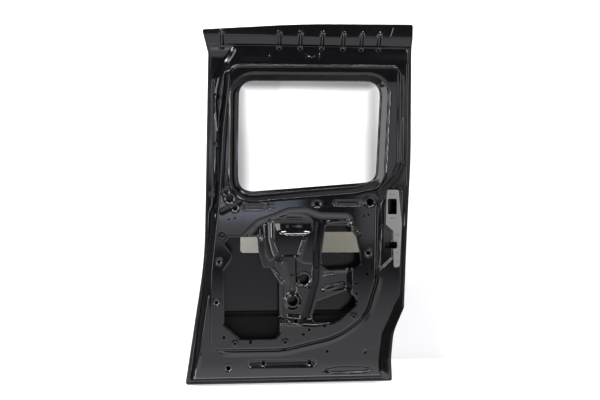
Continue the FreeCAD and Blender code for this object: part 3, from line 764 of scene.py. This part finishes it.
# Orange peel and flow marks of dipped paint
def grainGroup():
    tree, take, give = makeGroup("PaintGrain", [("Peel", 420.0), ("Flow", 6.0)],
                                 [("Height", "NodeSocketFloat"), ("Gloss", "NodeSocketFloat")])
    place = tree.nodes.new("ShaderNodeTexCoord").outputs["Object"]
    peel = addNoise(tree, place, take.outputs["Peel"], 2.0)
    fine = addNoise(tree, place, 1500.0, 1.0)
    flow = addNoise(tree, place, take.outputs["Flow"], 4.0, (1.0, 1.0, 0.35))
    height = addMath(tree, "ADD", peel, addMath(tree, "MULTIPLY", fine, 0.35))
    tree.links.new(height, give.inputs["Height"])
    tree.links.new(addMath(tree, "SUBTRACT", flow, 0.5), give.inputs["Gloss"])
    return tree


# Dust that settles on faces that look up, and in a thin film elsewhere
def dustGroup():
    tree, take, give = makeGroup("SettledDust", [("Amount", 0.5)], [("Mask", "NodeSocketFloat")])
    place = tree.nodes.new("ShaderNodeTexCoord").outputs["Object"]
    split = tree.nodes.new("ShaderNodeSeparateXYZ")
    tree.links.new(tree.nodes.new("ShaderNodeNewGeometry").outputs["Normal"], split.inputs[0])
    upward = addRamp(tree, split.outputs["Z"], 0.25, 0.95)
    patch = addRamp(tree, addNoise(tree, place, 38.0, 5.0), 0.42, 0.72)
    speck = addRamp(tree, addNoise(tree, place, 900.0, 2.0), 0.66, 0.74)
    film = addMath(tree, "ADD", addMath(tree, "MULTIPLY", patch, 0.08),
                   addMath(tree, "MULTIPLY", speck, 0.25))
    mask = addMath(tree, "ADD", addMath(tree, "MULTIPLY", upward, addMath(tree, "ADD", patch, 0.25)), film)
    tree.links.new(addMath(tree, "MULTIPLY", mask, take.outputs["Amount"]), give.inputs["Mask"])
    return tree


# Thin handling scratches
def scuffGroup():
    tree, take, give = makeGroup("HandlingScuffs", [("Amount", 0.5)], [("Mask", "NodeSocketFloat")])
    place = tree.nodes.new("ShaderNodeTexCoord").outputs["Object"]
    across = addRamp(tree, addNoise(tree, place, 30.0, 3.0, (1.0, 1.0, 14.0)), 0.64, 0.7)
    down = addRamp(tree, addNoise(tree, place, 34.0, 3.0, (16.0, 1.0, 1.0)), 0.66, 0.72)
    patch = addRamp(tree, addNoise(tree, place, 7.0, 2.0), 0.5, 0.7)
    mask = addMath(tree, "MULTIPLY", addMath(tree, "MAXIMUM", across, down), patch)
    tree.links.new(addMath(tree, "MULTIPLY", mask, take.outputs["Amount"]), give.inputs["Mask"])
    return tree


# Rubbed rims, where the surface turns sharply
def rubGroup():
    tree, take, give = makeGroup("RubbedEdges", [("Amount", 0.5)], [("Mask", "NodeSocketFloat")])
    place = tree.nodes.new("ShaderNodeTexCoord").outputs["Object"]
    point = tree.nodes.new("ShaderNodeNewGeometry").outputs["Pointiness"]
    sharp = addRamp(tree, point, 0.53, 0.6)
    broken = addRamp(tree, addNoise(tree, place, 120.0, 3.0), 0.45, 0.65)
    mask = addMath(tree, "MULTIPLY", addMath(tree, "MULTIPLY", sharp, broken), take.outputs["Amount"])
    tree.links.new(mask, give.inputs["Mask"])
    return tree


groups = {"grain": grainGroup(), "dust": dustGroup(), "scuff": scuffGroup(), "rub": rubGroup()}


def useGroup(tree, key, **values):
    node = tree.nodes.new("ShaderNodeGroup")
    node.node_tree = groups[key]
    for label, value in values.items():
        node.inputs[label].default_value = value
    return node


def mixColour(tree, mask, first, second):
    node = tree.nodes.new("ShaderNodeMix")
    node.data_type = "RGBA"
    tree.links.new(mask, node.inputs["Factor"])
    for socket, value in ((node.inputs[6], first), (node.inputs[7], second)):
        if isinstance(value, tuple):
            socket.default_value = (*value, 1)
        else:
            tree.links.new(value, socket)
    return node.outputs[2]


def primer(name, look):
    material = bpy.data.materials.new(name)
    material.use_nodes = True
    tree = material.node_tree
    shader = tree.nodes["Principled BSDF"]
    grain = useGroup(tree, "grain", Peel=look["peel"], Flow=look["flow"])
    dust = useGroup(tree, "dust", Amount=look["dust"])
    scuff = useGroup(tree, "scuff", Amount=look["scuff"])
    rub = useGroup(tree, "rub", Amount=look["rub"])
    colour = mixColour(tree, scuff.outputs["Mask"], look["colour"], look["scuffColour"])
    colour = mixColour(tree, rub.outputs["Mask"], colour, look["rubColour"])
    colour = mixColour(tree, dust.outputs["Mask"], colour, look["dustColour"])
    tree.links.new(colour, shader.inputs["Base Color"])
    varied = addMath(tree, "MULTIPLY", grain.outputs["Gloss"], look["vary"])
    rough = addMath(tree, "ADD", varied, look["rough"])
    rough = addMath(tree, "ADD", rough, addMath(tree, "MULTIPLY", scuff.outputs["Mask"], 0.2))
    rough = addMath(tree, "ADD", rough, addMath(tree, "MULTIPLY", dust.outputs["Mask"], 0.35))
    tree.links.new(rough, shader.inputs["Roughness"])
    shader.inputs["IOR"].default_value = look["ior"]
    bump = tree.nodes.new("ShaderNodeBump")
    bump.inputs["Strength"].default_value = look["bump"]
    bump.inputs["Distance"].default_value = 0.0004
    tree.links.new(grain.outputs["Height"], bump.inputs["Height"])
    tree.links.new(bump.outputs[0], shader.inputs["Normal"])
    return material


# Looks of the primer, by where it lies
innerLook = {"colour": (0.0022, 0.002, 0.0025), "scuffColour": (0.03, 0.03, 0.033),
             "rubColour": (0.06, 0.06, 0.063), "dustColour": (0.16, 0.155, 0.15), "peel": 420.0,
             "flow": 6.0, "dust": 0.05, "scuff": 0.35, "rub": 0.3, "rough": 0.09, "vary": 0.06,
             "bump": 0.025, "ior": 1.52}
outerLook = dict(innerLook, rough=0.18, dust=0.08, flow=4.0)
cavityLook = dict(innerLook, colour=(0.003, 0.0029, 0.003), rough=0.4, dust=0.0, scuff=0.0, rub=0.0,
                  ior=1.2)
# The lock plate is black primer like the rest; its grey colour is a painted reflection of the bright room
# on its face
lockLookPaintedReflection = dict(innerLook, colour=(0.16, 0.154, 0.151), rough=0.38, scuff=0.6)
ribLook = dict(innerLook, ior=1.34)
looks = {"inner_primer": primer("innerPrimer", innerLook), "outer_primer": primer("outerPrimer", outerLook),
         "cavity_primer": primer("cavityPrimer", cavityLook), "lock_primer_painted_reflection": primer("lockPrimerPaintedReflection", lockLookPaintedReflection),
         "rib_primer": primer("ribPrimer", ribLook)}
print("materials made")

slots = {entry["node"]: entry["material_slot"] for entry in frame["record"]["subparts"]}
ownLooks = {"lock_plate": "lock_primer_painted_reflection", "rib_channel": "rib_primer"}
for name, piece in pieces.items():
    node = "outer_skin" if name == "hem" else name
    piece.data.materials.append(looks[ownLooks.get(name, slots[node])])
    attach(piece, "root")
    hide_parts(node)
for name, node in nodes.items():
    if name not in pieces:
        node.data.materials.clear()
        node.data.materials.append(looks[slots[name]])

# Stage: pale floor and wall, which look bright to the camera and in the paint
stage = {
    "floorZ": -0.0822, "wallY": 0.46, "front": -6.0, "half": 2.6, "top": 2.4, "shown": 0.5,
    "floorColour": (0.80, 0.80, 0.79), "wallColour": (0.78, 0.78, 0.775),
    # Painted shade on the wall: a darker beige behind the slot, paler towards the left
    "slotShadeColour": (0.23, 0.215, 0.18), "slotShadePaleColour": (0.4, 0.385, 0.345),
    # Painted shade on the wall: dark grey round the window edges and low beside the door
    "wallShadeColour": (0.16, 0.16, 0.16), "inPaint": (0.02, 0.02, 0.02),
    "wallGlow": 0.14, "wallGlowX": (-0.6, 0.9), "slotTurnX": (0.1, -0.1),
    "farY": (-5.8, -0.6), "farGlow": 1.02, "nearY": (-0.5, -0.2), "nearGlow": 0.6,
    "sideX": (0.45, 0.6), "sideY": (-0.7, -0.35), "leastGlow": 0.03,
}
# Shade on the wall, in metres: bands of X or Z, and how dark each is
shade = {
    "middle": 0.1, "slotX": (0.44, 0.34), "slotZ": (0.12, 0.3, 0.5, 0.62),
    "leftX": (-0.095, -0.165), "left": 0.8, "rightX": (0.33, 0.42), "right": 0.85,
    "topZ": (1.03, 1.092), "top": 0.98, "windowX": (0.42, 0.28), "windowZ": (0.5, 0.62, 1.14, 1.33),
    "farX": (1.0, 0.62), "nearX": (0.4, 0.5), "lowZ": (1.0, 0.2), "low": 0.22,
}


def addBand(tree, value, a, b, c, d):
    return addMath(tree, "SUBTRACT", addRamp(tree, value, a, b), addRamp(tree, value, c, d))


# How bright the floor is in the paint: most at the door, less far off and beside it
def floorGlow(tree, split):
    x, y = split.outputs["X"], split.outputs["Y"]
    far = addMath(tree, "MULTIPLY", addRamp(tree, y, *stage["farY"]), stage["farGlow"])
    near = addMath(tree, "MULTIPLY", addRamp(tree, y, *stage["nearY"]), stage["nearGlow"])
    side = addMath(tree, "MULTIPLY", addRamp(tree, x, *stage["sideX"]), addRamp(tree, y, *stage["sideY"]))
    glow = addMath(tree, "MULTIPLY", addMath(tree, "ADD", far, near), addMath(tree, "SUBTRACT", 1.0, side))
    return addMath(tree, "ADD", glow, stage["leastGlow"])


# Shade behind the slot, and round the window and low beside the door
def wallShade(tree, split):
    x, z = split.outputs["X"], split.outputs["Z"]
    across = addMath(tree, "ABSOLUTE", addMath(tree, "SUBTRACT", x, shade["middle"]))
    slot = addMath(tree, "MULTIPLY", addRamp(tree, across, *shade["slotX"]),
                   addBand(tree, z, *shade["slotZ"]))
    left = addMath(tree, "MULTIPLY", addRamp(tree, x, *shade["leftX"]), shade["left"])
    right = addMath(tree, "MULTIPLY", addRamp(tree, x, *shade["rightX"]), shade["right"])
    top = addMath(tree, "MULTIPLY", addRamp(tree, z, *shade["topZ"]), shade["top"])
    border = addMath(tree, "MAXIMUM", addMath(tree, "MAXIMUM", left, right), top)
    hidden = addMath(tree, "MULTIPLY", addRamp(tree, across, *shade["windowX"]),
                     addBand(tree, z, *shade["windowZ"]))
    beside = addMath(tree, "MULTIPLY", addRamp(tree, x, *shade["farX"]), addRamp(tree, x, *shade["nearX"]))
    low = addMath(tree, "MULTIPLY", addRamp(tree, z, *shade["lowZ"]), shade["low"])
    beside = addMath(tree, "MULTIPLY", beside, low)
    return slot, addMath(tree, "MAXIMUM", beside, addMath(tree, "MULTIPLY", border, hidden))


def stageMaterial(name, colour, isWall):
    material = bpy.data.materials.new(name)
    material.use_nodes = True
    tree = material.node_tree
    shader = tree.nodes["Principled BSDF"]
    output = tree.nodes["Material Output"]
    place = tree.nodes.new("ShaderNodeTexCoord").outputs["Object"]
    tone = mixColour(tree, addRamp(tree, addNoise(tree, place, 3.0, 4.0), 0.3, 0.7),
                     colour, tuple(0.975 * c for c in colour))
    shader.inputs["Roughness"].default_value = 0.85
    path = tree.nodes.new("ShaderNodeLightPath")
    split = tree.nodes.new("ShaderNodeSeparateXYZ")
    tree.links.new(place, split.inputs[0])
    seen = stage["shown"]
    if isWall:
        # Painted shade on the wall's colour: darker behind the slot and round the window and beside the
        # door, where the emission seen by the camera is lowered too
        slot, window = wallShade(tree, split)
        turn = addRamp(tree, split.outputs["X"], *stage["slotTurnX"])
        behind = mixColour(tree, turn, stage["slotShadeColour"], stage["slotShadePaleColour"])
        tone = mixColour(tree, slot, tone, behind)
        tone = mixColour(tree, window, tone, stage["wallShadeColour"])
        plain = addMath(tree, "SUBTRACT", 1.0, addMath(tree, "MAXIMUM", slot, window))
        seen = addMath(tree, "MULTIPLY", plain, seen)
        along = addRamp(tree, split.outputs["X"], *stage["wallGlowX"])
        glow = addMath(tree, "MULTIPLY", along, stage["wallGlow"])
    else:
        glow = floorGlow(tree, split)
    tone = mixColour(tree, path.outputs["Is Glossy Ray"], tone, stage["inPaint"])
    tree.links.new(tone, shader.inputs["Base Color"])
    bright = addMath(tree, "ADD", addMath(tree, "MULTIPLY", path.outputs["Is Camera Ray"], seen),
                     addMath(tree, "MULTIPLY", path.outputs["Is Glossy Ray"], glow))
    shader.inputs["Emission Color"].default_value = (1.0, 0.985, 1.03, 1)
    tree.links.new(bright, shader.inputs["Emission Strength"])
    if isWall:
        clear = tree.nodes.new("ShaderNodeBsdfTransparent")
        mix = tree.nodes.new("ShaderNodeMixShader")
        tree.links.new(tree.nodes.new("ShaderNodeNewGeometry").outputs["Backfacing"], mix.inputs[0])
        tree.links.new(shader.outputs[0], mix.inputs[1])
        tree.links.new(clear.outputs[0], mix.inputs[2])
        tree.links.new(mix.outputs[0], output.inputs["Surface"])
    return material


def stagePlane(name, corners, material):
    mesh = bpy.data.meshes.new(name)
    mesh.from_pydata(corners, [], [(0, 1, 2, 3)])
    mesh.materials.append(material)
    plane = bpy.data.objects.new(name, mesh)
    bpy.context.scene.collection.objects.link(plane)


half, front, wallY, floorZ = stage["half"], stage["front"], stage["wallY"], stage["floorZ"]
floorCorners = [(-half, front, floorZ), (half, front, floorZ), (half, wallY, floorZ),
                (-half, wallY, floorZ)]
wallCorners = [(-half, wallY, floorZ), (half, wallY, floorZ), (half, wallY, stage["top"]),
               (-half, wallY, stage["top"])]
stagePlane("stage_floor", floorCorners, stageMaterial("stageFloor", stage["floorColour"], False))
stagePlane("stage_wall", wallCorners, stageMaterial("stageWall", stage["wallColour"], True))


# Lamps: place, aim, size in metres, watts and colour
def addLamp(name, place, aim, size, watts, colour=(1, 1, 1)):
    data = bpy.data.lights.new(name, "AREA")
    data.shape = "RECTANGLE"
    data.size, data.size_y = size
    data.energy = watts
    data.color = colour
    lamp = bpy.data.objects.new(name, data)
    lamp.location = place
    lamp.rotation_euler = (Vector(aim) - Vector(place)).to_track_quat("-Z", "Y").to_euler()
    lamp.visible_camera = False
    bpy.context.scene.collection.objects.link(lamp)


addLamp("lampLeft", (-1.3, -2.2, 2.8), (0.0, 0.0, 0.5), (0.9, 0.25), 48)
addLamp("lampRight", (1.5, -2.0, 2.7), (0.1, 0.0, 0.5), (0.8, 0.25), 42)
addLamp("lampTop", (0.1, -0.9, 2.6), (0.05, 0.0, 0.4), (1.5, 0.09), 22)
addLamp("lampSide", (3.0, -2.2, 1.0), (0.1, 0.0, 0.6), (1.2, 2.0), 44)
addLamp("lampSky", (0.0, -3.25, 0.53), (-0.1, 0.0, 0.57), (0.7, 0.16), 0.9, (0.72, 0.8, 1.0))
addLamp("lampRoomLeft", (-0.25, -3.3, 0.66), (-0.2, 0.0, 0.7), (0.8, 0.8), 2.2, (0.9, 0.9, 1.0))
addLamp("lampRoomRight", (1.08, -3.3, 0.66), (0.4, 0.0, 0.7), (0.55, 0.8), 1.5, (0.94, 0.9, 1.0))
addLamp("lampThrough", (0.0, 0.33, 0.83), (1.0, 0.33, 0.83), (0.24, 0.5), 0.6)
addLamp("lampTall", (-2.6, -1.7, 0.95), (-0.1, 0.0, 0.7), (0.8, 1.9), 50, (0.9, 0.94, 1.0))

world = bpy.data.worlds.new("room")
world.use_nodes = True
world.node_tree.nodes["Background"].inputs["Color"].default_value = (0.62, 0.66, 0.75, 1)
world.node_tree.nodes["Background"].inputs["Strength"].default_value = 0.1
bpy.context.scene.world = world
bpy.context.scene.view_settings.view_transform = "Standard"

# Camera at the photo's place
shot = {"target": Vector((0.050, 0, 0.599)), "distance": 3.0, "turn": math.radians(5.2), "lens": 49.02}
cameraData = bpy.data.cameras.new("camera")
cameraData.lens = shot["lens"]
camera = bpy.data.objects.new("camera", cameraData)
back = Vector((-math.sin(shot["turn"]), -math.cos(shot["turn"]), 0))
camera.location = shot["target"] + back * shot["distance"]
camera.rotation_euler = (-back).to_track_quat("-Z", "Y").to_euler()
bpy.context.scene.collection.objects.link(camera)
bpy.context.scene.camera = camera
print("stage and camera set")
